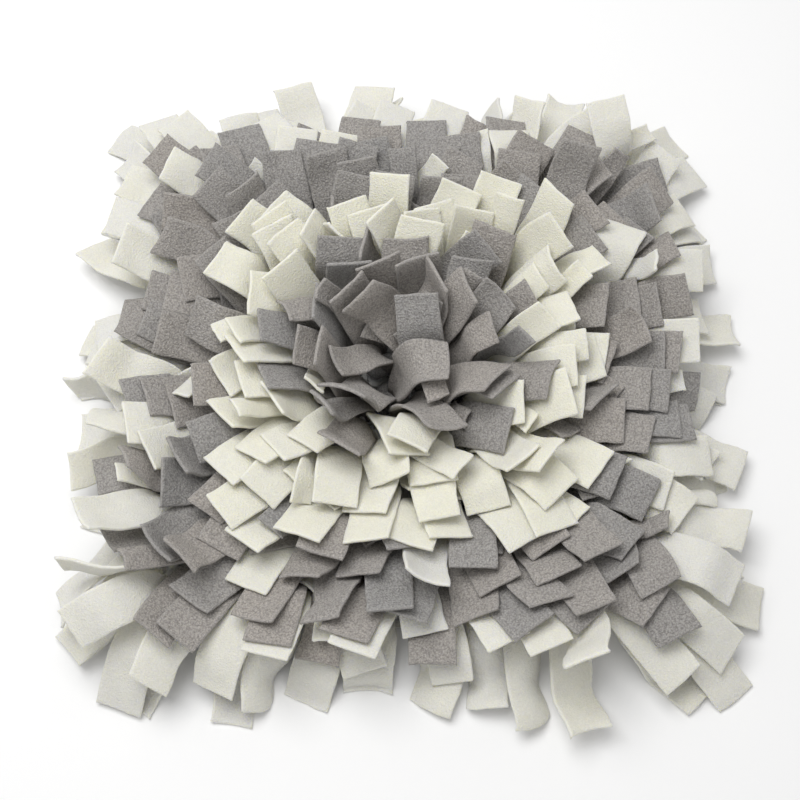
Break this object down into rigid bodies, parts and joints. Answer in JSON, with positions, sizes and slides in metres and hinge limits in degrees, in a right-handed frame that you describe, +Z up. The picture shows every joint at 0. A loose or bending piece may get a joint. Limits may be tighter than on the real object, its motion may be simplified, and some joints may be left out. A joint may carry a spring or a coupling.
{
  "type": "snuffle mat",
  "caption": "Square snuffle mat: fleece strips knotted through a net rise in a shaggy mound of grey and cream square rings.",
  "frame": {"origin": "middle of the net's flat underside, on the surface that the mat lies on", "axes": "+Z up out of the pile, +X and +Y along the net's sides, the near side of the mat being -Y"},
  "size_m": [0.458, 0.46, 0.0887],
  "materials": {
    "net": "matt, off-white",
    "grey_fleece": "matt polar fleece, warm grey",
    "cream_fleece": "matt polar fleece, cream"
  },
  "bodies": {
    "root": {"net": "net", "ring_1_grey": "grey_fleece", "ring_2_grey": "grey_fleece", "ring_3_cream": "cream_fleece", "ring_4_grey": "grey_fleece", "ring_5_grey": "grey_fleece", "ring_6_cream": "cream_fleece"}
  },
  "joints": []
}
